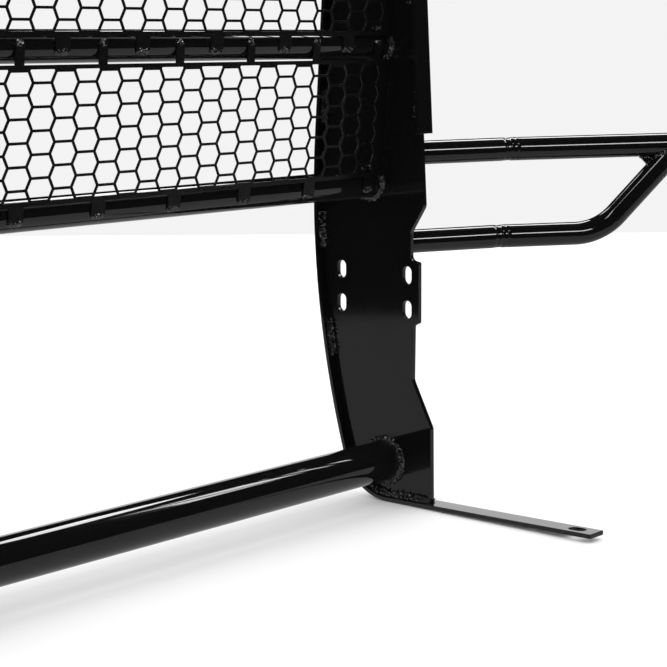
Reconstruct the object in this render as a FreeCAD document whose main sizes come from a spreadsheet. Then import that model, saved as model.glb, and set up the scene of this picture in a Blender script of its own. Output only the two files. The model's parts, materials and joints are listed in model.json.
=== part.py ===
import FreeCAD, Part
import math
import os
import Sketcher

# Front grille guard for a full-size pickup: a welded steel frame in three groups.
#   uprights: two side plates, each edged by one bent flat bar that also makes the lower strap,
#             with a rear flange bar above the mounting slots
#   centre:   one large bottom tube, three smaller cross tubes, two punched mesh panels
#   wings:    on each side a headlight hoop, a middle bar and a small corner web
# Frame: X across the vehicle, +Y toward the vehicle, Z up. Millimetres.
# Left and right are as seen from the front, so left is on -X.

V = FreeCAD.Vector
doc = FreeCAD.newDocument("grille_guard")

# ---------------------------------------------------------------- driving dimensions
sheet = doc.addObject("Spreadsheet::Sheet", "Params")
SIZES = [
    ("plate_gap", 972.0, "clear width between the two side plates"),
    ("plate_thick", 7.94, "side plate thickness"),
    ("bar_width", 31.75, "flat bar width"),
    ("bar_thick", 6.35, "flat bar thickness"),
    ("base_od", 60.3, "bottom tube outside diameter"),
    ("cross_od", 41.275, "cross tube outside diameter"),
    ("wing_od", 34.925, "wing tube outside diameter"),
    ("base_wall", 3.9, "bottom tube wall"),
    ("cross_wall", 3.0, "cross tube wall"),
    ("wing_wall", 3.0, "wing tube wall"),
    ("slot_wide", 16.7, "plate slot width, along Y"),
    ("slot_tall", 26.5, "plate slot height, along Z"),
    ("slot_pitch_y", 127.0, "plate slot spacing along Y"),
    ("slot_pitch_z", 50.8, "plate slot spacing along Z"),
    ("strap_slot_long", 26.4, "strap slot length, along Y"),
    ("strap_slot_wide", 16.7, "strap slot width, along X"),
    ("sheet_thick", 2.0, "mesh sheet thickness"),
    ("mesh_bar", 3.5, "width of the steel left between mesh openings"),
    ("mesh_pitch_x", 35.39, "mesh column spacing"),
    ("mesh_pitch_w", 28.54, "mesh row spacing"),
    ("mesh_run", 7.0, "sideways run of a slanted mesh bar"),
    ("tab_pitch", 130.0, "spacing of the tabs along a mesh panel"),
    ("tube_rise", 202.3, "rise from one cross tube to the next"),
    ("tube_set_back", 18.17, "set-back from one cross tube to the next"),
    ("lower_tube_y", -148.95, "lower cross tube axis, Y"),
    ("lower_tube_z", 473.9, "lower cross tube axis, Z"),
    ("base_tube_y", -121.15, "bottom tube axis, Y"),
    ("base_tube_z", 60.8, "bottom tube axis, Z"),
    ("slot_mid_y", -144.65, "middle of the plate slot pattern, Y"),
    ("slot_mid_z", 316.5, "middle of the plate slot pattern, Z"),
    ("strap_slot_y", 221.35, "strap slot centre, Y"),
    ("web_thick", 6.35, "corner web thickness"),
]
for row, (name, value, words) in enumerate(SIZES, 1):
    sheet.set("A%d" % row, name)
    sheet.set("B%d" % row, str(value))
    sheet.set("C%d" % row, words)
    sheet.setAlias("B%d" % row, name)
doc.recompute()


def val(name):
    return float(sheet.get(name))


# ---------------------------------------------------------------- helpers
def bind(obj, prop, text):
    obj.setExpression(prop, text)


def new_body(label):
    body = doc.addObject("PartDesign::Body", label)
    body.Label = label
    return body


def new_sketch(body, name, role="XY_Plane"):
    sketch = body.newObject("Sketcher::SketchObject", name)
    plane = [f for f in body.Origin.OriginFeatures if f.Role == role][0]
    sketch.AttachmentSupport = [(plane, "")]
    sketch.MapMode = "FlatFace"
    return sketch


def draw_loop(sketch, edges, tied=True):
    """Add a closed run of edges and, if tied, join each end to the next start."""
    first = sketch.GeometryCount
    spans = []
    for edge in edges:
        sketch.addGeometry(edge[0], False)
        spans.append(edge[1:])
    count = len(edges) if tied else 0
    for i in range(count):
        j = (i + 1) % count
        end = 1 if spans[i][0] else 2
        start = 2 if spans[j][0] else 1
        sketch.addConstraint(Sketcher.Constraint("Coincident", first + i, end, first + j, start))
    return first


def line(a, b):
    return (Part.LineSegment(V(a[0], a[1], 0), V(b[0], b[1], 0)), False)


def arc(centre, radius, start_deg, end_deg):
    """Arc from start to end angle; a falling angle runs clockwise."""
    circle = Part.Circle(V(centre[0], centre[1], 0), V(0, 0, 1), radius)
    a = math.radians(start_deg)
    b = math.radians(end_deg)
    if b > a:
        return (Part.ArcOfCircle(circle, a, b), False)
    return (Part.ArcOfCircle(circle, b, a), True)


def rounded_loop(corners):
    """Closed outline through (x, y, radius) corners, each corner rounded by its radius."""
    ends = []
    count = len(corners)
    for i in range(count):
        x, y, radius = corners[i]
        here = V(x, y, 0)
        before = V(corners[i - 1][0], corners[i - 1][1], 0)
        after = V(corners[(i + 1) % count][0], corners[(i + 1) % count][1], 0)
        back = (before - here).normalize()
        ahead = (after - here).normalize()
        if radius == 0:
            ends.append((here, here, None))
            continue
        half = back.getAngle(ahead) / 2
        reach = radius / math.tan(half)
        centre = here + (back + ahead).normalize() * (radius / math.sin(half))
        ends.append((here + back * reach, here + ahead * reach, (centre, radius)))
    edges = []
    for i in range(count):
        start, end, bend = ends[i]
        if bend:
            centre, radius = bend
            a = math.degrees(math.atan2(start.y - centre.y, start.x - centre.x))
            b = math.degrees(math.atan2(end.y - centre.y, end.x - centre.x))
            turn = (b - a + 180) % 360 - 180
            edges.append(arc((centre.x, centre.y), radius, a, a + turn))
        following = ends[(i + 1) % count][0]
        if (following - end).Length > 1e-6:
            edges.append(line((end.x, end.y), (following.x, following.y)))
    return edges


def pad(body, sketch, name, length_text):
    feature = body.newObject("PartDesign::Pad", name)
    feature.Profile = sketch
    bind(feature, "Length", length_text)
    return feature


def pocket_through(body, sketch, name):
    before = body.Tip.Shape.Volume
    feature = body.newObject("PartDesign::Pocket", name)
    feature.Profile = sketch
    feature.Type = "ThroughAll"
    doc.recompute()
    if feature.Shape.Volume >= before - 1:
        feature.Reversed = True
        doc.recompute()
    return feature


def grid_pattern(body, feature, sketch, name, columns, pitch_x, rows, pitch_y):
    """Repeat one feature over columns and rows of its own sketch axes."""
    multi = body.newObject("PartDesign::MultiTransform", name)
    multi.Originals = [feature]
    steps = []
    for tail, axis, count, pitch in (("Columns", "H_Axis", columns, pitch_x),
                                     ("Rows", "V_Axis", rows, pitch_y)):
        step = doc.addObject("PartDesign::LinearPattern", name + tail)
        step.Direction = (sketch, [axis])
        step.Occurrences = count
        bind(step, "Length", "%d * %s" % (count - 1, pitch))
        body.addObject(step)
        steps.append(step)
    multi.Transformations = steps
    body.Tip = multi
    doc.recompute()
    return multi


# ---------------------------------------------------------------- upright side view (Y, Z)
# The flat bar starts at the rear end of the strap, rounds the lower front corner, sweeps up
# the front in one long shallow curve, then leans back and turns over the top of the plate.
Y0 = -144.65
Z0 = 60.8
STRAP_END = 398.0 + Y0
STRAP_RISE = 0.97
HEEL = (33.7 + Y0, 27.2 + Z0)
HEEL_R = 88.0
BOW_R = 1325.0
BOW = (1216.3 + Y0, 390.0 + Z0)
HEEL_DEG = math.degrees(math.atan2(HEEL[1] - BOW[1], HEEL[0] - BOW[0])) % 360
LEAN_BACK = 4.3
TOP_Z = 860.0 + Z0
TOP_R = 55.0
REAR_LEAN = 3.03
FLANGE_FOOT_Z = 488.0 + Z0


def front_y(z, depth):
    """Y of the leaning upper front, at a depth inside the outer face."""
    a = math.radians(LEAN_BACK)
    tangent_y = BOW[0] - BOW_R * math.cos(a)
    tangent_z = BOW[1] + BOW_R * math.sin(a)
    return tangent_y + (z - tangent_z) * math.tan(a) + depth / math.cos(a)


def rear_y(z):
    """Y of the plate's upper rear edge."""
    return 94.7 + Y0 - math.tan(math.radians(REAR_LEAN)) * (z - 383.0 - Z0)


def crown_centre():
    """Centre of the bend over the top of the upright."""
    a = math.radians(LEAN_BACK)
    z = TOP_Z - TOP_R
    return (front_y(z, 0) + TOP_R / math.cos(a), z)


def strap_z(y, depth):
    a = math.radians(STRAP_RISE)
    foot_y = HEEL[0] + HEEL_R * math.sin(a)
    foot_z = HEEL[1] - HEEL_R * math.cos(a)
    return foot_z + (y - foot_y) * math.tan(a) + depth / math.cos(a)


def bar_face(depth, strap_y, crown_y):
    """Edges of the bent bar at one depth, from strap_y along the bar to crown_y at the top."""
    a = math.radians(STRAP_RISE)
    lean = math.radians(LEAN_BACK)
    heel_r = HEEL_R - depth
    bow_r = BOW_R - depth
    crown = crown_centre()
    crown_r = TOP_R - depth
    heel_start = (HEEL[0] + heel_r * math.sin(a), HEEL[1] - heel_r * math.cos(a))
    bow_end = (BOW[0] - bow_r * math.cos(lean), BOW[1] + bow_r * math.sin(lean))
    crown_start = (crown[0] - crown_r * math.cos(lean), crown[1] + crown_r * math.sin(lean))
    crown_end = (crown[0], crown[1] + crown_r)
    return [
        line((strap_y, strap_z(strap_y, depth)), heel_start),
        arc(HEEL, heel_r, 270 + STRAP_RISE, HEEL_DEG),
        arc(BOW, bow_r, HEEL_DEG, 180 - LEAN_BACK),
        line(bow_end, crown_start),
        arc(crown, crown_r, 180 - LEAN_BACK, 90),
        line(crown_end, (crown_y, TOP_Z - depth)),
    ]


def backwards(edges):
    return [(edge[0], not edge[1]) for edge in reversed(edges)]


FLANGE_T = val("bar_thick") / math.cos(math.radians(REAR_LEAN))
CROWN_END = rear_y(TOP_Z) + FLANGE_T
PLATE_FOOT_Y = 109.6 + Y0


def make_side_plate(label, side):
    t = val("bar_thick")
    body = new_body(label)
    outline = new_sketch(body, label + "_outline", "YZ_Plane")
    top = TOP_Z - t
    rear = [
        (rear_y(top), top, 0),
        (rear_y(383.0 + Z0), 383.0 + Z0, 12),
        (70.0 + Y0, 345.0 + Z0, 10),
        (70.0 + Y0, 304.0 + Z0, 8),
        (85.2 + Y0, 301.0 + Z0, 3),
        (85.2 + Y0, 212.0 + Z0, 3),
        (75.0 + Y0, 207.0 + Z0, 4),
        (73.7 + Y0, 126.0 + Z0, 12),
        (108.8 + Y0, 58.5 + Z0, 12),
        (PLATE_FOOT_Y, strap_z(PLATE_FOOT_Y, t), 0),
    ]
    front = bar_face(t, PLATE_FOOT_Y, rear_y(top))
    # rear edge from the top down to the strap, with its first and last corners square;
    # rounded_loop also closes the run, and that closing line is the part left out
    back = rounded_loop(rear)[:-1]
    draw_loop(outline, front + back)
    pad(body, outline, label + "_blank", "Params.plate_thick")
    doc.recompute()
    slot = new_sketch(body, label + "_slot", "YZ_Plane")
    draw_slot(slot, "slot_wide", "slot_tall",
              "Params.slot_mid_y - Params.slot_pitch_y / 2",
              "Params.slot_mid_z - Params.slot_pitch_z / 2")
    cut = pocket_through(body, slot, label + "_slot_cut")
    grid_pattern(body, cut, slot, label + "_slots", 2, "Params.slot_pitch_y",
                 2, "Params.slot_pitch_z")
    edge = "Params.plate_gap / 2" if side > 0 else "-Params.plate_gap / 2 - Params.plate_thick"
    bind(body, "Placement.Base.x", edge)
    return body


def draw_slot(sketch, wide, tall, x_text, y_text):
    """Round-ended slot, long way up, held by a centre point whose place follows the sheet."""
    r = val(wide) / 2
    reach = val(tall) / 2 - r
    x = sheet_value(x_text)
    y = sheet_value(y_text)
    top = y + reach
    low = y - reach
    first = draw_loop(sketch, [arc((x, top), r, 0, 180), line((x - r, top), (x - r, low)),
                               arc((x, low), r, 180, 360), line((x + r, low), (x + r, top))], False)
    con = Sketcher.Constraint
    for i in range(4):
        sketch.addConstraint(con("Tangent", first + i, 2, first + (i + 1) % 4, 1))
    sketch.addConstraint(con("Equal", first, first + 2))
    sketch.addConstraint(con("Vertical", first + 1))
    radius = sketch.addConstraint(con("Radius", first, r))
    spread = sketch.addConstraint(con("DistanceY", first + 2, 3, first, 3, 2 * reach))
    across = sketch.addConstraint(con("DistanceX", -1, 1, first, 3, x))
    height = sketch.addConstraint(con("DistanceY", -1, 1, first + 2, 3, low))
    gap = "(Params.%s - Params.%s)" % (tall, wide)
    bind(sketch, "Constraints[%d]" % radius, "Params.%s / 2" % wide)
    bind(sketch, "Constraints[%d]" % spread, gap)
    bind(sketch, "Constraints[%d]" % across, x_text)
    bind(sketch, "Constraints[%d]" % height, "%s - %s / 2" % (y_text, gap))


def sheet_value(text):
    """Value of a short expression on the sheet."""
    return float(sheet.evalExpression(text.replace("Params.", "")))


def make_front_bar(label, side):
    t = val("bar_thick")
    body = new_body(label)
    outline = new_sketch(body, label + "_profile", "YZ_Plane")
    outer = bar_face(0, STRAP_END, CROWN_END)
    inner = bar_face(t, STRAP_END, CROWN_END)
    edges = outer + [line((CROWN_END, TOP_Z), (CROWN_END, TOP_Z - t))]
    edges += backwards(inner)
    edges += [line((STRAP_END, strap_z(STRAP_END, t)), (STRAP_END, strap_z(STRAP_END, 0)))]
    draw_loop(outline, edges)
    pad(body, outline, label + "_bar", "Params.bar_width")
    doc.recompute()
    slot = new_sketch(body, label + "_slot", "XY_Plane")
    draw_slot(slot, "strap_slot_wide", "strap_slot_long",
              "Params.bar_width / 2", "Params.strap_slot_y")
    cut = body.newObject("PartDesign::Pocket", label + "_slot_cut")
    cut.Profile = slot
    cut.Length = 100
    cut.Reversed = True
    doc.recompute()
    body.Tip = cut
    centre = "(Params.plate_gap + Params.plate_thick) / 2"
    sign = "" if side > 0 else "-"
    bind(body, "Placement.Base.x", "%s%s - Params.bar_width / 2" % (sign, centre))
    return body


def make_rear_flange(label, side):
    body = new_body(label)
    outline = new_sketch(body, label + "_profile", "YZ_Plane")
    low = FLANGE_FOOT_Z
    high = TOP_Z - val("bar_thick")
    draw_loop(outline, rounded_loop([(rear_y(low), low, 0), (rear_y(low) + FLANGE_T, low, 0),
                                     (rear_y(high) + FLANGE_T, high, 0), (rear_y(high), high, 0)]))
    pad(body, outline, label + "_bar", "Params.bar_width")
    centre = "(Params.plate_gap + Params.plate_thick) / 2"
    sign = "" if side > 0 else "-"
    bind(body, "Placement.Base.x", "%s%s - Params.bar_width / 2" % (sign, centre))
    doc.recompute()
    return body


# ---------------------------------------------------------------- cross tubes
def make_cross_tube(label, od, wall, y_text, z_text):
    body = new_body(label)
    ring = new_sketch(body, label + "_ring", "YZ_Plane")
    radii = (val(od) / 2, val(od) / 2 - val(wall))
    texts = ("Params.%s / 2" % od, "Params.%s / 2 - Params.%s" % (od, wall))
    for radius, text in zip(radii, texts):
        circle = ring.addGeometry(Part.Circle(V(0, 0, 0), V(0, 0, 1), radius), False)
        ring.addConstraint(Sketcher.Constraint("Coincident", circle, 3, -1, 1))
        size = ring.addConstraint(Sketcher.Constraint("Radius", circle, radius))
        bind(ring, "Constraints[%d]" % size, text)
    pad(body, ring, label + "_tube", "Params.plate_gap")
    bind(body, "Placement.Base.x", "-Params.plate_gap / 2")
    bind(body, "Placement.Base.y", y_text)
    bind(body, "Placement.Base.z", z_text)
    doc.recompute()
    return body


# ---------------------------------------------------------------- mesh panels
LEAN = math.degrees(math.atan2(val("tube_set_back"), val("tube_rise")))
SHEET_LOW = 13.6
SHEET_HIGH = 183.0
RIM_LOW = 19.6
RIM_HIGH = 177.85
PANEL_HALF = 483.0
LOW_TAB = 11.5
HIGH_TAB = 7.0
TAB_LAP = 4.5
FIRST_COLUMN = -442.2
FIRST_ROW = 19.2
COLUMNS = 13
ROWS = 6
TUBE_SPAN = math.hypot(val("tube_set_back"), val("tube_rise"))


def hexagon(x, y):
    """Mesh opening: flat top and bottom, pointed sides, inset by half a mesh bar."""
    rise = val("mesh_pitch_w") / 2
    run = val("mesh_run")
    inset = val("mesh_bar") / 2
    slope = math.atan2(rise, run)
    tip = val("mesh_pitch_x") / 2 + run / 2 - inset / math.sin(slope)
    top = rise - inset
    shoulder = tip - run * top / rise
    return [(x + tip, y), (x + shoulder, y + top), (x - shoulder, y + top),
            (x - tip, y), (x - shoulder, y - top), (x + shoulder, y - top)]


def keep_side(points, level, sign):
    """Part of a convex outline on one side of a level line (sign +1 keeps what is above)."""
    kept = []
    for i, here in enumerate(points):
        before = points[i - 1]
        a = sign * (before[1] - level)
        b = sign * (here[1] - level)
        if a * b < 0:
            t = a / (a - b)
            kept.append((before[0] + t * (here[0] - before[0]), level))
        if b >= 0:
            kept.append(here)
    return kept


def tab_places(count):
    return [(i - (count - 1) / 2) * val("tab_pitch") for i in range(count)]


def panel_outline(low_count, high_count):
    """Outer edge of a panel, with the tabs that lap onto the tubes below and above."""
    corners = [(-PANEL_HALF, SHEET_LOW, 0)]
    for x in tab_places(low_count):
        corners += [(x - LOW_TAB, SHEET_LOW, 0), (x - LOW_TAB, -TAB_LAP, 1.5),
                    (x + LOW_TAB, -TAB_LAP, 1.5), (x + LOW_TAB, SHEET_LOW, 0)]
    corners += [(PANEL_HALF, SHEET_LOW, 0), (PANEL_HALF, SHEET_HIGH, 0)]
    for x in reversed(tab_places(high_count)):
        corners += [(x + HIGH_TAB, SHEET_HIGH, 0), (x + HIGH_TAB, TUBE_SPAN + TAB_LAP, 1.5),
                    (x - HIGH_TAB, TUBE_SPAN + TAB_LAP, 1.5), (x - HIGH_TAB, SHEET_HIGH, 0)]
    corners.append((-PANEL_HALF, SHEET_HIGH, 0))
    return rounded_loop(corners)


def make_mesh_panel(label, storey):
    """One punched panel; storey 0 sits on the lower cross tube, storey 1 on the middle one."""
    body = new_body(label)
    flat = new_sketch(body, label + "_flat")
    # on the middle tube the upper panel's tabs stand between those of the lower panel
    edges = panel_outline(8 - storey, 8)
    for column in range(2 * COLUMNS):
        x = FIRST_COLUMN + column * val("mesh_pitch_x")
        for row in range(ROWS):
            y = FIRST_ROW + (row + 0.5 * (column % 2)) * val("mesh_pitch_w")
            opening = keep_side(keep_side(hexagon(x, y), RIM_LOW, 1), RIM_HIGH, -1)
            edges += rounded_loop([(px, py, 0) for px, py in opening])
    flat.addGeometry([edge[0] for edge in edges], False)
    pad(body, flat, label + "_sheet", "Params.sheet_thick").Refine = False
    doc.recompute()
    a = math.radians(LEAN)
    reach = val("cross_od") / 2 + val("sheet_thick")
    y = val("lower_tube_y") + storey * val("tube_set_back") + reach * math.cos(a)
    z = val("lower_tube_z") + storey * val("tube_rise") - reach * math.sin(a)
    body.Placement = FreeCAD.Placement(V(0, y, z), FreeCAD.Rotation(V(1, 0, 0), 90 - LEAN))
    doc.recompute()
    return body


# ---------------------------------------------------------------- wings
# The bars leave the plates slanting back, bend further back, and climb a little all the way.
WING_ROOT_X = 492.35
WING_ROOT_Y = 35.6 + Y0
SWEEP_1 = math.radians(28.84)
SWEEP_2 = math.radians(38.87)
CLIMB = math.tan(math.radians(0.8))
LOW_BAR_Z = 327.5 + Z0
MID_BAR_Z = 457.3 + Z0
TOP_BAR_Z = 790.0 + Z0
LOW_LEG = 169.0
MID_LEG = 183.0
BEND_R = 90.0
CORNER_R = 90.0
DIAGONAL = math.radians(46.2)
KNEE = 154.7
ELBOW = 320.0
ROOT_STUB = 25.0
WEB_LONG = 22.0
WEB_SHORT = 11.0
WEB_LAP = 2.0


def wing_point(side, leg, along, z):
    """Point on a wing bar: leg is its first leg, along is the distance past its bend."""
    x = WING_ROOT_X + leg * math.cos(SWEEP_1) + along * math.cos(SWEEP_2)
    y = WING_ROOT_Y + leg * math.sin(SWEEP_1) + along * math.sin(SWEEP_2)
    return V(side * x, y, z + CLIMB * (leg + along))


def bent_wire(points, radii):
    """Centreline through points, with a round bend at every inner point."""
    edges = []
    last = points[0]
    for i in range(1, len(points) - 1):
        here = points[i]
        back = (points[i - 1] - here).normalize()
        ahead = (points[i + 1] - here).normalize()
        half = back.getAngle(ahead) / 2
        reach = radii[i - 1] / math.tan(half)
        middle = (back + ahead).normalize()
        centre = here + middle * (radii[i - 1] / math.sin(half))
        start = here + back * reach
        end = here + ahead * reach
        edges.append(Part.makeLine(last, start))
        edges.append(Part.Arc(start, centre - middle * radii[i - 1], end).toShape())
        last = end
    edges.append(Part.makeLine(last, points[-1]))
    return Part.Wire(edges)


def sweep_solid(name, path, start, heading, radius_text):
    """Round bar of one radius along a centreline."""
    ring = doc.addObject("Part::Circle", name + "_ring")
    bind(ring, "Radius", radius_text)
    ring.Placement = FreeCAD.Placement(start, FreeCAD.Rotation(V(0, 0, 1), heading))
    doc.recompute()
    run = doc.addObject("Part::Sweep", name)
    run.Sections = [ring]
    run.Spine = (path, ["Edge%d" % (i + 1) for i in range(len(path.Shape.Edges))])
    run.Solid = True
    run.Frenet = False
    doc.recompute()
    return run


def cut_object(name, base, tool):
    cut = doc.addObject("Part::Cut", name)
    cut.Base = base
    cut.Tool = tool
    doc.recompute()
    return cut


def bent_tube(name, points, radii):
    """Bent tube blank; returns the solid bar and the hollow tube."""
    # the bends turn in two planes, so the centreline is a free wire, not a flat sketch
    path = doc.addObject("Part::Feature", name + "_path")
    path.Shape = bent_wire(points, radii)
    heading = points[1] - points[0]
    outer = sweep_solid(name + "_outer", path, points[0], heading, "Params.wing_od / 2")
    inner = sweep_solid(name + "_bore", path, points[0], heading,
                        "Params.wing_od / 2 - Params.wing_wall")
    return outer, cut_object(name + "_tube", outer, inner)


def make_gap_block():
    """Block that fills the space between the outer faces of the two plates."""
    block = doc.addObject("Part::Box", "gap_block")
    bind(block, "Length", "Params.plate_gap + 2 * Params.plate_thick")
    block.Width = 400
    block.Height = 1000
    bind(block, "Placement.Base.x", "-Params.plate_gap / 2 - Params.plate_thick")
    block.Placement.Base.y = -250
    doc.recompute()
    return block


def make_wing(word, side, block):
    """Hoop, middle bar and corner web of one wing."""
    low = [wing_point(side, -ROOT_STUB, 0, LOW_BAR_Z), wing_point(side, LOW_LEG, 0, LOW_BAR_Z),
           wing_point(side, LOW_LEG, KNEE, LOW_BAR_Z)]
    elbow_z = LOW_BAR_Z + (ELBOW - KNEE) * math.tan(DIAGONAL)
    high = [wing_point(side, LOW_LEG, ELBOW, elbow_z), wing_point(side, LOW_LEG, ELBOW, TOP_BAR_Z),
            wing_point(side, LOW_LEG, 0, TOP_BAR_Z), wing_point(side, -ROOT_STUB, 0, TOP_BAR_Z)]
    hoop_bar, hoop_tube = bent_tube(word + "_hoop", low + high,
                                    [BEND_R, CORNER_R, CORNER_R, CORNER_R, BEND_R])
    hoop = cut_object(word + "_headlight_hoop", hoop_tube, block)
    meet = KNEE + (MID_BAR_Z - LOW_BAR_Z) / math.tan(DIAGONAL)
    meet -= (MID_LEG - LOW_LEG) * math.cos(SWEEP_2 - SWEEP_1)
    middle = [wing_point(side, -ROOT_STUB, 0, MID_BAR_Z), wing_point(side, MID_LEG, 0, MID_BAR_Z),
              wing_point(side, MID_LEG, meet, MID_BAR_Z)]
    mid_bar, mid_tube = bent_tube(word + "_mid", middle, [BEND_R])
    trimmed = cut_object(word + "_mid_trim", mid_tube, block)
    mid = cut_object(word + "_middle_bar", trimmed, hoop_bar)
    web = make_corner_web(word, side, hoop_bar, mid_bar)
    for obj, label in ((hoop, "headlight_hoop"), (mid, "middle_bar"), (web, "corner_web")):
        obj.Label = "%s_%s" % (word, label)
    return [hoop, mid, web]


def make_corner_web(word, side, hoop_bar, mid_bar):
    """Small triangular web in the sharp corner between the middle bar and the hoop."""
    r = val("wing_od") / 2
    under = MID_BAR_Z - r
    slope = math.tan(DIAGONAL)
    # upper edge of the rising leg, measured past the hoop's lower bend
    edge_at_under = KNEE + (under - LOW_BAR_Z) / slope - r / math.sin(DIAGONAL)
    blank = new_body(word + "_web_blank")
    outline = new_sketch(blank, word + "_web_outline", "XZ_Plane")
    foot = edge_at_under - WEB_SHORT
    foot_z = under - WEB_SHORT * slope
    # the laps run into the two tubes and are trimmed off against them
    corners = [(edge_at_under - WEB_LONG, under + WEB_LAP), (edge_at_under - WEB_LONG, under),
               (foot, foot_z), (foot + WEB_LAP, foot_z),
               (edge_at_under + 3 * WEB_LAP, under + WEB_LAP)]
    draw_loop(outline, rounded_loop([(x, z + CLIMB * x, 0) for x, z in corners]))
    body_pad = pad(blank, outline, word + "_web_pad", "Params.web_thick")
    body_pad.Midplane = True
    base = wing_point(side, LOW_LEG, 0, 0)
    turn = math.degrees(SWEEP_2)
    if side < 0:
        turn = 180 - turn
    blank.Placement = FreeCAD.Placement(base, FreeCAD.Rotation(V(0, 0, 1), turn))
    doc.recompute()
    first = cut_object(word + "_web_trim", blank, hoop_bar)
    return cut_object(word + "_corner_web", first, mid_bar)


# ---------------------------------------------------------------- build
nodes = []
for word, side in (("left", -1), ("right", 1)):
    nodes.append(make_side_plate(word + "_side_plate", side))
    nodes.append(make_front_bar(word + "_front_strip", side))
    nodes.append(make_rear_flange(word + "_rear_flange", side))
nodes.append(make_cross_tube("bottom_tube", "base_od", "base_wall",
                             "Params.base_tube_y", "Params.base_tube_z"))
for count, label in enumerate(("lower_cross_tube", "middle_cross_tube", "top_cross_tube")):
    nodes.append(make_cross_tube(label, "cross_od", "cross_wall",
                                 "Params.lower_tube_y + %d * Params.tube_set_back" % count,
                                 "Params.lower_tube_z + %d * Params.tube_rise" % count))
nodes.append(make_mesh_panel("lower_mesh_panel", 0))
nodes.append(make_mesh_panel("upper_mesh_panel", 1))
gap_block = make_gap_block()
for word, side in (("left", -1), ("right", 1)):
    nodes += make_wing(word, side, gap_block)

# ---------------------------------------------------------------- checks and export
doc.recompute()
faults = []
for obj in doc.Objects:
    if "Invalid" in obj.State or "Error" in obj.State:
        faults.append("%s state %s" % (obj.Label, obj.State))
    shape = getattr(obj, "Shape", None)
    if shape is not None and obj.TypeId != "App::Plane" and obj.TypeId != "App::Line":
        if obj in nodes and (shape.isNull() or not shape.isValid()):
            faults.append("%s shape is not valid" % obj.Label)
if faults:
    raise RuntimeError("; ".join(faults))

os.makedirs("parts", exist_ok=True)
total = FreeCAD.BoundBox()
for obj in nodes:
    box = obj.Shape.BoundBox
    total.add(box)
    print("%-20s solids %d volume %10.0f  x %8.1f %8.1f  y %7.1f %7.1f  z %7.1f %7.1f" % (
        obj.Label, len(obj.Shape.Solids), obj.Shape.Volume,
        box.XMin, box.XMax, box.YMin, box.YMax, box.ZMin, box.ZMax))
    obj.Shape.exportStep("parts/%s.step" % obj.Label)
print("overall", total)
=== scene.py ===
import json
import math

import bmesh
import bpy
from mathutils import Matrix, Vector, noise


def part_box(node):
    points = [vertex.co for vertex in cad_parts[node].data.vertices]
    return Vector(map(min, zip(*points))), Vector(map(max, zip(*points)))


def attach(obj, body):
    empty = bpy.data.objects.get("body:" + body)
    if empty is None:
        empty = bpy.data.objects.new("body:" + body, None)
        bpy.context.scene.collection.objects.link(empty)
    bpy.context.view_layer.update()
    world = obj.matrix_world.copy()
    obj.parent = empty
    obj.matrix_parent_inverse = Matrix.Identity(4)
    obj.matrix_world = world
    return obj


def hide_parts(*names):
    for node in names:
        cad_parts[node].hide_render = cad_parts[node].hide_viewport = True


# Looks for the front grille guard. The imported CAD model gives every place; each CAD node is shown by a
# finer piece of the same size, and the weld beads that join the frame are added as geometry.
# Metres, in the CAD's frame: X across, +Y toward the vehicle, Z up. Left is on -X.

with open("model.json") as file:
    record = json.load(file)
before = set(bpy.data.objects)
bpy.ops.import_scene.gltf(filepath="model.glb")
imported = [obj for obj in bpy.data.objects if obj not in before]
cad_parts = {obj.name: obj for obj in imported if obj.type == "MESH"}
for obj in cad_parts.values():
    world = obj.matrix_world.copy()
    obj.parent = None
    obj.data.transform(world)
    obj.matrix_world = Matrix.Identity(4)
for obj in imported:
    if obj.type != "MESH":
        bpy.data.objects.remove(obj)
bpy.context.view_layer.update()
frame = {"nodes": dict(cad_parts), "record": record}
NODES = frame["nodes"]
SIDES = (("left", -1), ("right", 1))

# ---------------------------------------------------------------- sizes shared with the CAD model
MM = 0.001
TUBE_SEGMENTS = 96
EDGE_SOFTENING = 0.7 * MM
SHEET_SOFTENING = 0.35 * MM
TAB_PITCH = 130 * MM
TAB_LAP = 4.5 * MM
LOW_TAB_HALF = 11.5 * MM
HIGH_TAB_HALF = 7.0 * MM
WEB_HALF = 3.175 * MM

# weld beads: leg lengths, and how finely they are drawn
BOTTOM_RING_LEG = 7.2 * MM
CROSS_RING_LEG = 6.2 * MM
ROOT_RING_LEG = 6.0 * MM
SADDLE_LEG = 5.2 * MM
PLATE_LEG = 8.0 * MM
TAB_LEG = 4.6 * MM
WEB_LEG = 2.8 * MM
RING_STEPS = 72
BEAD_STEP = 0.65 * MM
BEAD_SINK = 0.5 * MM

# marks of the bending die at the small bends
MARK_REACH = 30 * MM
MARK_STEP = 0.8 * MM

# how far before a tube's end the search for the bar that it is coped onto starts
SEARCH_BACK = 120 * MM

# wing centrelines: they start at WING_BASE_X, sweep back twice and climb a little all the way
WING_RADIUS = 17.4625 * MM
WING_BASE_X = 492.35 * MM
WING_ROOT_Y = -109.05 * MM
SWEEP_1 = math.radians(28.84)
SWEEP_2 = math.radians(38.87)
CLIMB = math.tan(math.radians(0.8))
LOW_BAR_Z = 388.3 * MM
MID_BAR_Z = 518.1 * MM
TOP_BAR_Z = 850.8 * MM
LOW_LEG = 169 * MM
MID_LEG = 183 * MM
BEND_R = 90 * MM
CORNER_R = 90 * MM
DIAGONAL = math.radians(46.2)
KNEE = 154.7 * MM
ELBOW = 320 * MM
ROOT_X = max(abs(v) for v in (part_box("right_side_plate")[0].x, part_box("right_side_plate")[1].x))


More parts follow.
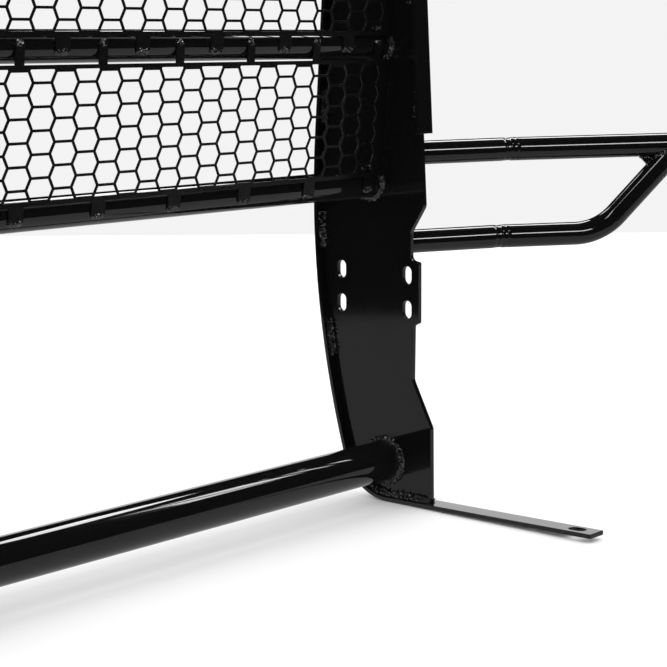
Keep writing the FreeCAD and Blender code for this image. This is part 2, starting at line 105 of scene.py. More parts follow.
# ---------------------------------------------------------------- materials
def powder_coat(name, base, roughness, peel_size, peel_depth, sheen_patches, shine=0.5):
    """Gloss black powder coat: orange peel, slight gloss variation, faint settled dust."""
    material = bpy.data.materials.new(name)
    material.use_nodes = True
    tree = material.node_tree
    tree.nodes.clear()
    link = tree.links.new

    def node(kind, **settings):
        made = tree.nodes.new(kind)
        for key, value in settings.items():
            setattr(made, key, value)
        return made

    out = node("ShaderNodeOutputMaterial")
    shader = node("ShaderNodeBsdfPrincipled")
    link(shader.outputs["BSDF"], out.inputs["Surface"])
    shader.inputs["Metallic"].default_value = 0.0
    shader.inputs["IOR"].default_value = 1.5
    shader.inputs["Specular IOR Level"].default_value = shine
    place = node("ShaderNodeTexCoord")

    patches = node("ShaderNodeTexNoise")
    patches.inputs["Scale"].default_value = sheen_patches
    patches.inputs["Detail"].default_value = 3.0
    link(place.outputs["Object"], patches.inputs["Vector"])
    gloss = node("ShaderNodeMapRange")
    gloss.inputs["From Min"].default_value = 0.3
    gloss.inputs["From Max"].default_value = 0.7
    gloss.inputs["To Min"].default_value = roughness * 0.8
    gloss.inputs["To Max"].default_value = roughness * 1.35
    link(patches.outputs["Fac"], gloss.inputs["Value"])
    link(gloss.outputs["Result"], shader.inputs["Roughness"])

    # dust shows as a slightly greyer black, more on faces that look up
    specks = node("ShaderNodeTexNoise")
    specks.inputs["Scale"].default_value = 900.0
    specks.inputs["Detail"].default_value = 2.0
    link(place.outputs["Object"], specks.inputs["Vector"])
    normal = node("ShaderNodeNewGeometry")
    parts = node("ShaderNodeSeparateXYZ")
    link(normal.outputs["Normal"], parts.inputs["Vector"])
    upward = node("ShaderNodeMapRange")
    upward.inputs["From Min"].default_value = 0.2
    upward.inputs["From Max"].default_value = 1.0
    upward.inputs["To Min"].default_value = 0.05
    upward.inputs["To Max"].default_value = 0.55
    link(parts.outputs["Z"], upward.inputs["Value"])
    thin = node("ShaderNodeMapRange")
    thin.inputs["From Min"].default_value = 0.45
    thin.inputs["From Max"].default_value = 0.75
    link(specks.outputs["Fac"], thin.inputs["Value"])
    amount = node("ShaderNodeMath", operation="MULTIPLY")
    link(upward.outputs["Result"], amount.inputs[0])
    link(thin.outputs["Result"], amount.inputs[1])
    tint = node("ShaderNodeMix", data_type="RGBA")
    tint.inputs["A"].default_value = (*base, 1)
    tint.inputs["B"].default_value = (0.015, 0.0147, 0.0143, 1)
    link(amount.outputs["Value"], tint.inputs["Factor"])
    link(tint.outputs["Result"], shader.inputs["Base Color"])

    # orange peel in two sizes
    fine = node("ShaderNodeTexNoise")
    fine.inputs["Scale"].default_value = 1.0 / peel_size
    fine.inputs["Detail"].default_value = 1.0
    link(place.outputs["Object"], fine.inputs["Vector"])
    broad = node("ShaderNodeTexNoise")
    broad.inputs["Scale"].default_value = 0.2 / peel_size
    broad.inputs["Detail"].default_value = 1.0
    link(place.outputs["Object"], broad.inputs["Vector"])
    fine_bump = node("ShaderNodeBump")
    fine_bump.inputs["Strength"].default_value = 1.0
    fine_bump.inputs["Distance"].default_value = peel_depth
    link(fine.outputs["Fac"], fine_bump.inputs["Height"])
    broad_bump = node("ShaderNodeBump")
    broad_bump.inputs["Strength"].default_value = 1.0
    broad_bump.inputs["Distance"].default_value = peel_depth * 1.0
    link(broad.outputs["Fac"], broad_bump.inputs["Height"])
    link(fine_bump.outputs["Normal"], broad_bump.inputs["Normal"])
    link(broad_bump.outputs["Normal"], shader.inputs["Normal"])
    return material


BLACK = (0.0030, 0.0030, 0.0032)
# name, base, roughness, orange-peel size and depth, scale of the gloss patches, and specular level
COATS = {
    "plate_coat": powder_coat("plate_powder_coat", BLACK, 0.06, 3.0 * MM, 0.006 * MM, 9.0, 0.42),
    "bar_coat": powder_coat("flat_bar_powder_coat", BLACK, 0.08, 2.5 * MM, 0.008 * MM, 14.0),
    "tube_coat": powder_coat("tube_powder_coat", BLACK, 0.05, 2.5 * MM, 0.003 * MM, 11.0),
    "wing_coat": powder_coat("wing_tube_powder_coat", BLACK, 0.05, 2.5 * MM, 0.006 * MM, 12.0),
    "mesh_coat": powder_coat("mesh_powder_coat", BLACK, 0.24, 2.0 * MM, 0.010 * MM, 20.0, 0.16),
    "weld_coat": powder_coat("weld_powder_coat", BLACK, 0.09, 2.6 * MM, 0.5 * MM, 30.0, 1.0),
}
SLOT_OF = {s["node"]: s["material_slot"] for s in frame["record"]["subparts"]}


def finish_piece(piece, coat, nodes=()):
    piece.data.materials.clear()
    piece.data.materials.append(COATS[coat])
    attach(piece, "root")
    for name in nodes:
        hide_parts(name)
    return piece


def mesh_piece(name, bm):
    bmesh.ops.recalc_face_normals(bm, faces=bm.faces)
    mesh = bpy.data.meshes.new(name)
    bm.to_mesh(mesh)
    bm.free()
    for face in mesh.polygons:
        face.use_smooth = True
    piece = bpy.data.objects.new(name, mesh)
    bpy.context.scene.collection.objects.link(piece)
    return piece


# ---------------------------------------------------------------- plates, flat bars and sheets
def softened(node_name, width):
    """The CAD node's own shape with its cut edges eased, as sheared and powder-coated steel has."""
    bm = bmesh.new()
    bm.from_mesh(NODES[node_name].data)
    bmesh.ops.remove_doubles(bm, verts=bm.verts, dist=0.002 * MM)
    bmesh.ops.dissolve_limit(bm, angle_limit=math.radians(0.5), verts=bm.verts, edges=bm.edges)
    piece = mesh_piece(node_name + "_steel", bm)
    bevel = piece.modifiers.new("eased_edges", "BEVEL")
    bevel.width = width
    bevel.segments = 2
    bevel.limit_method = "ANGLE"
    bevel.angle_limit = math.radians(28)
    bevel.harden_normals = True
    level = piece.modifiers.new("flat_faces", "WEIGHTED_NORMAL")
    level.keep_sharp = True
    slot = SLOT_OF[node_name]
    return finish_piece(piece, slot, [node_name])


# ---------------------------------------------------------------- tubes
def sections_to_tube(name, rings):
    """Closed tube skin through rings of points, with flat ends."""
    bm = bmesh.new()
    made = [[bm.verts.new(p) for p in ring] for ring in rings]
    count = len(made[0])
    for a, b in zip(made, made[1:]):
        for i in range(count):
            j = (i + 1) % count
            bm.faces.new((a[i], a[j], b[j], b[i]))
    bm.faces.new(made[0])
    bm.faces.new(made[-1])
    piece = mesh_piece(name, bm)
    piece.data.set_sharp_from_angle(angle=math.radians(50))
    return piece


def straight_tube(node_name):
    low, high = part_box(node_name)
    radius = (high.z - low.z) / 2
    y = (low.y + high.y) / 2
    z = (low.z + high.z) / 2
    steps = 24
    rings = []
    for k in range(steps + 1):
        x = low.x + (high.x - low.x) * k / steps
        ring = []
        for i in range(TUBE_SEGMENTS):
            a = 2 * math.pi * i / TUBE_SEGMENTS
            ring.append(Vector((x, y + radius * math.cos(a), z + radius * math.sin(a))))
        rings.append(ring)
    piece = sections_to_tube(node_name + "_skin", rings)
    return finish_piece(piece, SLOT_OF[node_name], [node_name])


def wing_point(side, leg, along, z):
    x = WING_BASE_X + leg * math.cos(SWEEP_1) + along * math.cos(SWEEP_2)
    y = WING_ROOT_Y + leg * math.sin(SWEEP_1) + along * math.sin(SWEEP_2)
    return Vector((side * x, y, z + CLIMB * (leg + along)))


def rounded_route(points, radii, step=4 * MM, fine=1 * MM):
    """Sampled centreline with a round bend at each inner point: (position, heading) pairs.
    The small sweep bends get closer samples than the rest."""
    runs = []
    last = points[0]
    for i in range(1, len(points) - 1):
        here = points[i]
        back = (points[i - 1] - here).normalized()
        ahead = (points[i + 1] - here).normalized()
        half = back.angle(ahead) / 2
        reach = radii[i - 1] / math.tan(half)
        centre = here + (back + ahead).normalized() * (radii[i - 1] / math.sin(half))
        runs.append(("line", last, here + back * reach))
        runs.append(("arc", here + back * reach, here + ahead * reach, centre, radii[i - 1], -back, ahead))
        last = here + ahead * reach
    runs.append(("line", last, points[-1]))
    samples = []
    for run in runs:
        start, end = run[1], run[2]
        length = (end - start).length
        if run[0] == "line":
            heading = (end - start).normalized()
            count = max(2, int(length / step))
            for k in range(count):
                samples.append((start.lerp(end, k / count), heading.copy()))
            continue
        centre, radius, first, final = run[3:]
        turn = first.angle(final)
        count = max(10, int(turn * radius / fine) if turn < math.radians(15) else int(turn * radius / step))
        axis = first.cross(final).normalized()
        for k in range(count):
            spin = Matrix.Rotation(turn * k / count, 3, axis)
            samples.append((centre + spin @ (start - centre), spin @ first))
    heading = (points[-1] - last).normalized()
    samples.append((points[-1].copy(), heading))
    return samples


def refine(samples, centres, reach, step):
    """Adds samples near the given points, where small marks need them."""
    done = [samples[0]]
    for a, b in zip(samples, samples[1:]):
        gap = (b[0] - a[0]).length
        middle = (a[0] + b[0]) / 2
        near = any((middle - c).length < reach + gap / 2 for c in centres)
        count = max(1, int(gap / step)) if near else 1
        for k in range(1, count):
            t = k / count
            done.append((a[0].lerp(b[0], t), a[1].lerp(b[1], t).normalized()))
        done.append(b)
    return done


def bent_tube(name, samples, radius, marks=(), start_x=None, end_x=None, trim_end=None):
    """Skin of a bent tube. marks are (place, inward direction) of the die marks at small bends;
    start_x and end_x cut an end flat on a plate, and trim_end ends it on another tube."""
    rings = []
    side_way = samples[0][1].cross(Vector((0, 0, 1))).normalized()
    for place, heading in samples:
        side_way = (side_way - heading * side_way.dot(heading)).normalized()
        up_way = side_way.cross(heading)
        ring = []
        for i in range(TUBE_SEGMENTS):
            a = 2 * math.pi * i / TUBE_SEGMENTS
            out = side_way * math.cos(a) + up_way * math.sin(a)
            r = radius
            for mark, inward in marks:
                r -= die_mark((place - mark).dot(heading), (place - mark).length, out, inward)
            ring.append(place + out * r)
        rings.append(ring)
    if start_x is not None:
        heading = samples[0][1]
        rings[0] = [p + heading * ((start_x - p.x) / heading.x) for p in rings[0]]
    if end_x is not None:
        heading = samples[-1][1]
        rings[-1] = [p + heading * ((end_x - p.x) / heading.x) for p in rings[-1]]
    if trim_end is not None:
        rings[-1] = trim_end(rings[-1], samples[-1][1])
    return sections_to_tube(name, rings)


def die_mark(along, distance, out, inward):
    """How far a press bender's die pinches the tube at a small bend: a shallow flat on the inside
    of the bend with a few sharper wrinkles, and a slight waist above and below."""
    if distance > MARK_REACH:
        return 0.0
    inside = max(0.0, out.dot(inward))
    flat = 1.1 * MM * math.exp(-(along / (9 * MM)) ** 2)
    wrinkles = 0.0
    for place, deep, wide in ((-10, 1.3, 1.8), (0, 1.0, 1.4), (9, 1.2, 1.8)):
        wrinkles += deep * MM * math.exp(-((along - place * MM) / (wide * MM)) ** 2)
    waist = 0.8 * MM * (1 - abs(out.dot(inward))) * math.exp(-((along + 4 * MM) / (5 * MM)) ** 2)
    return flat * inside ** 2 + wrinkles * inside + waist


def cut_on_line_tube(axis_point, axis_way, radius):
    """End each generator where it first meets a round bar."""
    def trim(ring, heading):
        done = []
        for p in ring:
            start = p - heading * SEARCH_BACK
            t = first_hit(start, heading, axis_point, axis_way, radius)
            done.append(start + heading * (t + 1.0 * MM))
        return done
    return trim


def first_hit(start, way, axis_point, axis_way, radius):
    """Distance along a line to a round bar; a line that misses stops level with its axis."""
    rel = start - axis_point
    a = way - axis_way * way.dot(axis_way)
    b = rel - axis_way * rel.dot(axis_way)
    qa = a.dot(a)
    qb = 2 * a.dot(b)
    qc = b.dot(b) - radius * radius
    disc = qb * qb - 4 * qa * qc
    if disc < 0:
        return -qb / (2 * qa)
    return (-qb - math.sqrt(disc)) / (2 * qa)


# ---------------------------------------------------------------- weld beads
def bead(bm, points, ways_a, ways_b, leg, closed=False, bump=False, seed=0.0, pitch=4.2 * MM, rough=0.9):
    """Adds one weld bead. points run along the corner; ways_a and ways_b lead away from it along the
    two surfaces. The bead is a row of overlapping ripples, pitch apart, and rough sets how lumpy it is.
    bump=True is a bead laid on a surface: ways_a then lies across it and ways_b stands off it."""
    path = list(zip(points, ways_a, ways_b))
    if closed:
        path.append(path[0])
    lengths = [0.0]
    for (p, _, _), (q, _, _) in zip(path, path[1:]):
        lengths.append(lengths[-1] + (q - p).length)
    total = lengths[-1]
    count = max(6, int(total / BEAD_STEP))
    sections = []
    index = 0
    last = count if closed else count + 1
    span = math.pi if bump else math.pi / 2
    arcs = 12 if bump else 9
    slump = 0.0 if bump else 0.12
    tall = 0.62 if bump else 1.0
    for k in range(last):
        s = total * k / count
        while index < len(lengths) - 2 and lengths[index + 1] < s:
            index += 1
        t = (s - lengths[index]) / max(1e-9, lengths[index + 1] - lengths[index])
        p = path[index][0].lerp(path[index + 1][0], t)
        a = path[index][1].lerp(path[index + 1][1], t).normalized()
        b = path[index][2].lerp(path[index + 1][2], t).normalized()
        size = leg * (1 + 0.10 * noise.noise(Vector((s / (9 * MM), seed, 0.3))))
        if not closed:
            near_end = min(s, total - s) / (1.3 * leg)
            if near_end < 1:
                size *= 0.25 + 0.75 * math.sqrt(max(0.0, 1 - (1 - near_end) ** 2))
        section = []
        for i in range(arcs):
            angle = span * i / (arcs - 1)
            crown = math.sin(angle) if bump else math.sin(2 * angle)
            phase = (s / pitch + 0.45 * crown + 0.15 * noise.noise(Vector((s / (5 * MM), seed, 7.7)))) % 1.0
            ripple = 1 - (2 * phase - 1) ** 2
            grit = noise.noise(Vector((s / (3.0 * MM), angle * 1.7, seed)))
            r = size * (1 - slump * crown * crown)
            r *= 1 + (0.34 * (ripple - 0.6) + rough * grit) * (0.25 + 0.75 * crown)
            section.append(p + a * (r * math.cos(angle)) + b * (r * tall * math.sin(angle)))
        sink = (b if bump else (a + b).normalized()) * -BEAD_SINK
        section.append(p + sink)
        sections.append([bm.verts.new(v) for v in section])
    around = len(sections[0])
    pairs = list(zip(sections, sections[1:]))
    if closed:
        pairs.append((sections[-1], sections[0]))
    for first, second in pairs:
        for i in range(around):
            j = (i + 1) % around
            bm.faces.new((first[i], first[j], second[j], second[i]))
    if not closed:
        bm.faces.new(sections[0])
        bm.faces.new(sections[-1])


def bead_piece(name, fill):
    bm = bmesh.new()
    fill(bm)
    piece = mesh_piece(name, bm)
    return finish_piece(piece, "weld_coat")


def plate_loop(node_name, x):
    """The side plate's outer edge on the face at x: ordered (y, z) points, from the mesh."""
    bm = bmesh.new()
    bm.from_mesh(NODES[node_name].data)
    bmesh.ops.remove_doubles(bm, verts=bm.verts, dist=0.002 * MM)
    on_face = {f for f in bm.faces if all(abs(v.co.x - x) < 0.05 * MM for v in f.verts)}
    rim = [e for e in bm.edges if sum(f in on_face for f in e.link_faces) == 1]
    following = {}
    for e in rim:
        for v in e.verts:
            following.setdefault(v, []).append(e)
    start = min(following, key=lambda v: v.co.y)
    loop = [start]
    edge = following[start][0]
    here = edge.other_vert(start)
    while here is not start:
        loop.append(here)
        edge = [e for e in following[here] if e is not edge][0]
        here = edge.other_vert(here)
    points = [(v.co.y, v.co.z) for v in loop]
    bm.free()
    area = sum(a[0] * b[1] - b[0] * a[1] for a, b in zip(points, points[1:] + points[:1]))
    if area < 0:
        points.reverse()
    return points


def edge_run(points, keep):
    """The parts of a closed outline whose points pass keep, each resampled with inward normals."""
    count = len(points)
    runs = []
    run = []
    fine = []
    for i in range(count):
        a = Vector(points[i])
        b = Vector(points[(i + 1) % count])
        pieces = max(1, int((b - a).length / (4 * MM)))
        way = (b - a).normalized()
        inward = Vector((-way.y, way.x))
        for k in range(pieces):
            fine.append((a.lerp(b, (k + 0.5) / pieces), inward))
    start = next((i for i, item in enumerate(fine) if not keep(item[0], item[1])), 0)
    for item in fine[start:] + fine[:start]:
        if keep(item[0], item[1]):
            run.append(item)
        elif run:
            runs.append(run)
            run = []
    if run:
        runs.append(run)
    return [r for r in runs if len(r) > 3]


def add_plate_beads(bm, word, side):
    """Beads between a side plate and its flat bars, on both faces of the plate."""
    node_name = word + "_side_plate"
    low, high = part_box(node_name)
    plate_rear_foot = low.z + 60 * MM
    front_bar_stitches = ((204, 270), (368, 436), (556, 612), (742, 806))
    flange_stitches = ((566, 622), (716, 772), (850, 900))
    for face_x, out in ((low.x, -1), (high.x, 1)):
        points = plate_loop(node_name, face_x)

        def foot(p, n):
            return p.y < plate_rear_foot and n.y > -0.2 and n.x > -0.5

        def stitch(table, towards):
            def keep(p, n):
                height = p.y / MM
                return n.x * towards > 0.8 and any(a < height < b for a, b in table)
            return keep

        rear_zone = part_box(word + "_rear_flange")[0].z
        chosen = edge_run(points, foot)
        chosen += edge_run(points, stitch(front_bar_stitches, 1))
        chosen += [r for r in edge_run(points, stitch(flange_stitches, -1)) if r[0][0].y > rear_zone]
        for number, run in enumerate(chosen):
            path = [Vector((face_x, p.x, p.y)) for p, n in run]
            ways_a = [Vector((0, n.x, n.y)) for p, n in run]
            ways_b = [Vector((out, 0, 0)) for _ in run]
            bead(bm, path, ways_a, ways_b, PLATE_LEG, seed=side * 11 + number * 3.1 + out,
                 pitch=5.2 * MM, rough=1.2)


def add_tube_rings(bm, node_name, leg, seed):
    """Ring beads where a straight tube meets the two plates."""
    low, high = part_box(node_name)
    radius = (high.z - low.z) / 2
    centre = Vector((0, (low.y + high.y) / 2, (low.z + high.z) / 2))
    for x, way in ((low.x, 1), (high.x, -1)):
        outs = []
        for i in range(RING_STEPS):
            a = 2 * math.pi * i / RING_STEPS
            outs.append(Vector((0, math.cos(a), math.sin(a))))
        path = [Vector((x, centre.y, centre.z)) + o * radius for o in outs]
        bead(bm, path, outs, [Vector((way, 0, 0)) for _ in outs], leg, closed=True, seed=seed + way)


def add_root_ring(bm, side, z, seed):
    """Ring bead where a wing tube leaves the plate at a slant."""
    heading = (wing_point(side, 1, 0, z) - wing_point(side, 0, 0, z)).normalized()
    root = wing_point(side, 0, 0, z)
    side_way = heading.cross(Vector((0, 0, 1))).normalized()
    up_way = Vector((0, 0, 1))
    path = []
    outs = []
    for i in range(RING_STEPS):
        a = 2 * math.pi * i / RING_STEPS
        out = side_way * math.cos(a) + up_way * math.sin(a)
        p = root + out * WING_RADIUS
        p = p + heading * ((side * ROOT_X - p.x) / heading.x)
        flat = Vector((0, out.y / (1 - 0.5 * abs(math.sin(SWEEP_1))), out.z)).normalized()
        path.append(p)
        outs.append(flat)
    bead(bm, path, outs, [heading.copy() for _ in outs], ROOT_RING_LEG, closed=True, seed=seed)


def add_tab_beads(bm, tube, at_low, count, half, seed):
    """Short beads that hold the mesh tabs on the back of a tube."""
    low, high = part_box(tube)
    radius = (high.z - low.z) / 2
    centre = Vector((0, (low.y + high.y) / 2, (low.z + high.z) / 2))
    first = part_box("lower_cross_tube")
    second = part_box("middle_cross_tube")
    lean = math.atan2(second[0].y - first[0].y, second[0].z - first[0].z)
    # direction up the panel and the panel's outward normal on the tube's rear
    up_panel = Vector((0, math.sin(lean), math.cos(lean)))
    rear = Vector((0, math.cos(lean), -math.sin(lean)))
    sign = -1 if at_low else 1
    angle = math.asin((TAB_LAP + 0.6 * MM) / radius)
    out = rear * math.cos(angle) + up_panel * (sign * math.sin(angle))
    along = up_panel * (sign * math.cos(angle)) - rear * math.sin(angle)
    for k in range(count):
        x = (k - (count - 1) / 2) * TAB_PITCH
        wander = 1.2 * MM * noise.noise(Vector((x * 7, seed, 0)))
        steps = 10
        path = []
        for i in range(steps + 1):
            t = i / steps * 2 - 1
            lift = out * radius
            path.append(centre + Vector((x + wander + t * half * 0.95, 0, 0)) + lift)
        ways_a = [along.copy() for _ in path]
        ways_b = [out.copy() for _ in path]
        bead(bm, path, ways_a, ways_b, TAB_LEG, bump=True, seed=seed + k * 1.7)


def add_saddle_bead(bm, side, hoop_line, meet, seed):
    """Bead round the end of the middle bar, on the hoop's rising leg."""
    axis_point, axis_way = hoop_line
    end = wing_point(side, MID_LEG, meet, MID_BAR_Z)
    heading = (end - wing_point(side, MID_LEG, 0, MID_BAR_Z)).normalized()
    side_way = heading.cross(Vector((0, 0, 1))).normalized()
    path = []
    ways_a = []
    ways_b = []
    for i in range(RING_STEPS):
        a = 2 * math.pi * i / RING_STEPS
        out = side_way * math.cos(a) + Vector((0, 0, 1)) * math.sin(a)
        start = end + out * (WING_RADIUS * 0.985) - heading * SEARCH_BACK
        p = start + heading * first_hit(start, heading, axis_point, axis_way, WING_RADIUS)
        rel = p - axis_point
        skin = (rel - axis_way * rel.dot(axis_way)).normalized()
        spread = (out - skin * out.dot(skin)).normalized()
        path.append(p)
        ways_a.append(-heading)
        ways_b.append(spread)
    bead(bm, path, ways_a, ways_b, SADDLE_LEG, closed=True, seed=seed)


def add_web_beads(bm, side, seed):
    """Small beads along both tubes on both faces of the corner web."""
    along = (wing_point(side, LOW_LEG, 1, 0) - wing_point(side, LOW_LEG, 0, 0)).normalized()
    across = along.cross(Vector((0, 0, 1))).normalized()
    reach_long = 22 * MM
    reach_short = 11 * MM
    inset = 2 * MM
    under = MID_BAR_Z - WING_RADIUS
    corner = KNEE + (under - LOW_BAR_Z) / math.tan(DIAGONAL) - WING_RADIUS / math.sin(DIAGONAL)
    off_slope = Vector((-along.x * math.sin(DIAGONAL), -along.y * math.sin(DIAGONAL), math.cos(DIAGONAL)))
    for face in (-1, 1):
        out = across * face
        start = wing_point(side, LOW_LEG, corner - reach_long, under)
        end = wing_point(side, LOW_LEG, corner - inset, under)
        path = [start.lerp(end, t / 8) + out * WEB_HALF for t in range(9)]
        bead(bm, path, [Vector((0, 0, -1))] * 9, [out] * 9, WEB_LEG, seed=seed)
        start = wing_point(side, LOW_LEG, corner - reach_short, under - reach_short * math.tan(DIAGONAL))
        end = wing_point(side, LOW_LEG, corner - inset, under - inset * math.tan(DIAGONAL))
        path = [start.lerp(end, t / 8) + out * WEB_HALF for t in range(9)]
        bead(bm, path, [off_slope] * 9, [out] * 9, WEB_LEG, seed=seed + 5)


# ---------------------------------------------------------------- build the pieces
def make_wing(word, side):
    elbow_z = LOW_BAR_Z + (ELBOW - KNEE) * math.tan(DIAGONAL)
    bend_low = wing_point(side, LOW_LEG, 0, LOW_BAR_Z)
    bend_top = wing_point(side, LOW_LEG, 0, TOP_BAR_Z)
    bend_mid = wing_point(side, MID_LEG, 0, MID_BAR_Z)
    route = [wing_point(side, 0, 0, LOW_BAR_Z), bend_low, wing_point(side, LOW_LEG, KNEE, LOW_BAR_Z),
             wing_point(side, LOW_LEG, ELBOW, elbow_z), wing_point(side, LOW_LEG, ELBOW, TOP_BAR_Z),
             bend_top, wing_point(side, 0, 0, TOP_BAR_Z)]
    first_way = (bend_low - route[0]).normalized()
    second_way = (route[2] - bend_low).normalized()
    inward = (second_way - first_way).normalized()
    samples = rounded_route(route, [BEND_R, CORNER_R, CORNER_R, CORNER_R, BEND_R])
    samples = refine(samples, [bend_low, bend_top], MARK_REACH, MARK_STEP)
    marks = [(bend_low, inward), (bend_top, inward)]
    # both ends are cut flat on the plate's outer face
    hoop = bent_tube(word + "_hoop_skin", samples, WING_RADIUS, marks,
                     start_x=side * ROOT_X, end_x=side * ROOT_X)
    node_name = word + "_headlight_hoop"
    finish_piece(hoop, SLOT_OF[node_name], [node_name])

    axis_point = wing_point(side, LOW_LEG, KNEE, LOW_BAR_Z)
    axis_way = (wing_point(side, LOW_LEG, ELBOW, elbow_z) - axis_point).normalized()
    meet = KNEE + (MID_BAR_Z - LOW_BAR_Z) / math.tan(DIAGONAL)
    meet -= (MID_LEG - LOW_LEG) * math.cos(SWEEP_2 - SWEEP_1)
    short = meet - MARK_REACH
    route = [wing_point(side, 0, 0, MID_BAR_Z), bend_mid, wing_point(side, MID_LEG, short, MID_BAR_Z)]
    samples = refine(rounded_route(route, [BEND_R]), [bend_mid], MARK_REACH, MARK_STEP)
    bar = bent_tube(word + "_middle_bar_skin", samples, WING_RADIUS, [(bend_mid, inward)],
                    start_x=side * ROOT_X, trim_end=cut_on_line_tube(axis_point, axis_way, WING_RADIUS))
    node_name = word + "_middle_bar"
    finish_piece(bar, SLOT_OF[node_name], [node_name])

    def fill(bm):
        for k, z in enumerate((LOW_BAR_Z, MID_BAR_Z, TOP_BAR_Z)):
            add_root_ring(bm, side, z, side * 20 + k)
        add_saddle_bead(bm, side, (axis_point, axis_way), meet, side * 31)
        add_web_beads(bm, side, side * 37)
    bead_piece(word + "_wing_welds", fill)


for tube in ("bottom_tube", "lower_cross_tube", "middle_cross_tube", "top_cross_tube"):
    straight_tube(tube)
for panel in ("lower_mesh_panel", "upper_mesh_panel"):
    softened(panel, SHEET_SOFTENING)
for word, side in SIDES:
    for part in ("side_plate", "front_strip", "rear_flange", "corner_web"):
        softened("%s_%s" % (word, part), EDGE_SOFTENING)
    make_wing(word, side)
    bead_piece(word + "_plate_welds", lambda bm: add_plate_beads(bm, word, side))


def fill_tube_rings(bm):
    add_tube_rings(bm, "bottom_tube", BOTTOM_RING_LEG, 1)
    add_tube_rings(bm, "lower_cross_tube", CROSS_RING_LEG, 4)
    add_tube_rings(bm, "middle_cross_tube", CROSS_RING_LEG, 7)
    add_tube_rings(bm, "top_cross_tube", CROSS_RING_LEG, 10)


def fill_tab_welds(bm):
    add_tab_beads(bm, "lower_cross_tube", True, 8, LOW_TAB_HALF, 40)
    add_tab_beads(bm, "middle_cross_tube", False, 8, HIGH_TAB_HALF, 60)
    add_tab_beads(bm, "middle_cross_tube", True, 7, LOW_TAB_HALF, 80)
    add_tab_beads(bm, "top_cross_tube", False, 8, HIGH_TAB_HALF, 100)


bead_piece("cross_tube_welds", fill_tube_rings)
bead_piece("mesh_tab_welds", fill_tab_welds)


# ---------------------------------------------------------------- studio
def plain_material(name, colour, roughness):
    material = bpy.data.materials.new(name)
    material.use_nodes = True
    shader = material.node_tree.nodes["Principled BSDF"]
    shader.inputs["Base Color"].default_value = (*colour, 1)
    shader.inputs["Roughness"].default_value = roughness
    return material


def flat_panel(name, corners, material):
    bm = bmesh.new()
    bm.faces.new([bm.verts.new(c) for c in corners])
    mesh = bpy.data.meshes.new(name)
    bm.to_mesh(mesh)
    bm.free()
    mesh.materials.append(material)
    panel = bpy.data.objects.new(name, mesh)
    bpy.context.scene.collection.objects.link(panel)
    return panel


def soft_box(name, place, target, wide, tall, radiance):
    """A light that only the gloss sees; the world gives the even light."""
    light = bpy.data.lights.new(name, "AREA")
    light.shape = "RECTANGLE"
    light.size = wide
    light.size_y = tall
    light.energy = radiance * math.pi * wide * tall
    lamp = bpy.data.objects.new(name, light)
    lamp.location = place
    lamp.rotation_euler = (Vector(target) - Vector(place)).to_track_quat("-Z", "Y").to_euler()
    lamp.visible_camera = False
    lamp.visible_diffuse = False
    bpy.context.scene.collection.objects.link(lamp)


# The floor ends in the distance behind the guard. The gloss sees its own greyer, smaller floor, so that
# beyond it the black coat mirrors a dark room, as in a studio.
WHITE = plain_material("pale_floor", (0.90, 0.90, 0.90), 0.9)
GREY = plain_material("floor_in_the_gloss", (0.40, 0.40, 0.40), 0.9)
FLOOR_Z = -0.5 * MM
# ends of the floor's far edge, and how far it reaches the other ways
FAR_LEFT = (-43.2, 42.1)
FAR_RIGHT = (36.5, -47.6)
FLOOR_REACH = 60.0
MIRROR_CORNERS = [(-5.5, -5.8), (-2.98, -5.8), (2.7, 0.6), (1.6, 1.05), (-0.6, 1.0), (-2.6, 2.4), (-5.5, 2.4)]
SEEN_STRENGTH = 0.90
ROOM_STRENGTH = 1.5
floor = flat_panel("floor", [(*FAR_RIGHT, FLOOR_Z), (FLOOR_REACH, FAR_RIGHT[1], FLOOR_Z),
                             (FLOOR_REACH, FLOOR_REACH, FLOOR_Z), (FAR_LEFT[0], FLOOR_REACH, FLOOR_Z),
                             (*FAR_LEFT, FLOOR_Z)], WHITE)
floor.visible_glossy = False
mirrored = flat_panel("mirrored_floor", [(x, y, FLOOR_Z) for x, y in MIRROR_CORNERS], GREY)
mirrored.location.z = -1 * MM
mirrored.visible_camera = False
mirrored.visible_diffuse = False
mirrored.visible_shadow = False

# the camera sees a pale wall; the even light of the room falls on everything but doesn't show in the gloss
world = bpy.data.worlds.new("studio")
world.use_nodes = True
world.cycles_visibility.glossy = False
bpy.context.scene.world = world
tree = world.node_tree
tree.nodes.clear()
seen = tree.nodes.new("ShaderNodeBackground")
seen.inputs["Color"].default_value = (1.0, 1.0, 1.0, 1)
seen.inputs["Strength"].default_value = SEEN_STRENGTH
room = tree.nodes.new("ShaderNodeBackground")
room.inputs["Color"].default_value = (1.0, 1.0, 1.0, 1)
room.inputs["Strength"].default_value = ROOM_STRENGTH
rays = tree.nodes.new("ShaderNodeLightPath")
mix = tree.nodes.new("ShaderNodeMixShader")
world_out = tree.nodes.new("ShaderNodeOutputWorld")
tree.links.new(rays.outputs["Is Camera Ray"], mix.inputs["Fac"])
tree.links.new(room.outputs["Background"], mix.inputs[1])
tree.links.new(seen.outputs["Background"], mix.inputs[2])
tree.links.new(mix.outputs["Shader"], world_out.inputs["Surface"])

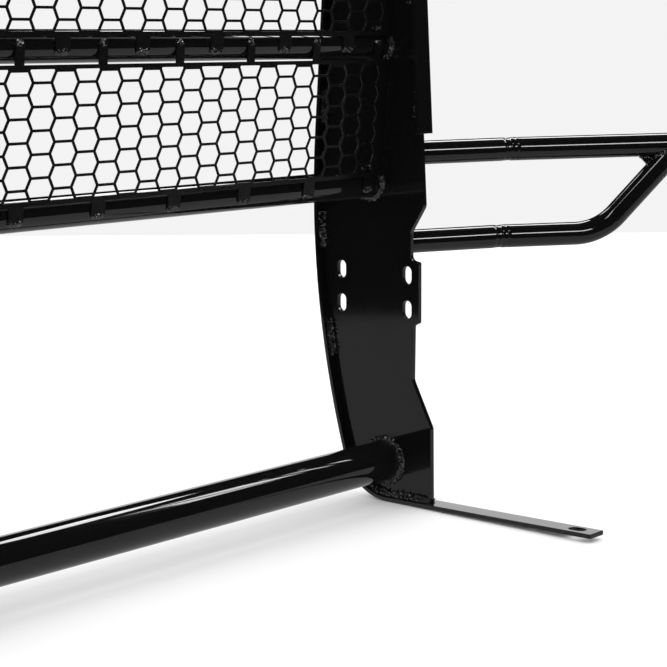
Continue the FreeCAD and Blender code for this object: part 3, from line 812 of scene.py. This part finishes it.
# name, place, what it faces, width, height, radiance
SOFT_BOXES = [
    # the long lines on the tubes: from above, from behind the guard and from in front of it
    ("high_box", (-2.9, -0.1, 3.1), (-1.1, 0.76, 0.06), 3.3, 0.8, 11.0),
    ("rear_strip", (-0.2, 3.6, 2.1), (-0.7, 0.1, 0.5), 2.6, 0.5, 16.0),
    ("far_strip", (0.6, -4.2, 2.2), (0, 0, 0.5), 3.4, 0.6, 10.0),
    # a low backdrop behind the guard, for the sheen on faces seen nearly edge-on
    ("backdrop", (-3.2, -2.9, 0.8), (0, 0, 0.8), 9.0, 1.5, 1.4),
    # the lines along the sloping legs of the wings
    ("front_box", (-1.07, -2.7, 3.4), (-0.8, 0.2, 0.6), 1.4, 0.5, 9.0),
    ("side_box", (1.9, 0.8, 3.5), (-0.8, 0.2, 0.6), 1.4, 0.4, 9.0),
]
for name, place, target, wide, tall, radiance in SOFT_BOXES:
    soft_box(name, place, target, wide, tall, radiance)
bpy.context.scene.view_settings.view_transform = "Standard"

# ---------------------------------------------------------------- camera
CAMERA_PLACE = Vector((1.5934, 1.6241, 0.6793))
CAMERA_AZIMUTH = math.radians(41.647)
CAMERA_PITCH = math.radians(8.942)
CAMERA_ROLL = math.radians(-0.30)
LENS = 99.95


def make_camera():
    c, s = math.cos(CAMERA_AZIMUTH), math.sin(CAMERA_AZIMUTH)
    ahead = Vector((-c * math.cos(CAMERA_PITCH), -s * math.cos(CAMERA_PITCH), -math.sin(CAMERA_PITCH)))
    right = Vector((-s, c, 0))
    up = right.cross(ahead)
    rolled_right = right * math.cos(CAMERA_ROLL) + up * math.sin(CAMERA_ROLL)
    rolled_up = up * math.cos(CAMERA_ROLL) - right * math.sin(CAMERA_ROLL)
    turn = Matrix((rolled_right, rolled_up, -ahead)).transposed()
    data = bpy.data.cameras.new("camera")
    data.lens = LENS
    data.sensor_width = 36
    camera = bpy.data.objects.new("camera", data)
    camera.matrix_world = Matrix.Translation(CAMERA_PLACE) @ turn.to_4x4()
    bpy.context.scene.collection.objects.link(camera)
    bpy.context.scene.camera = camera


make_camera()
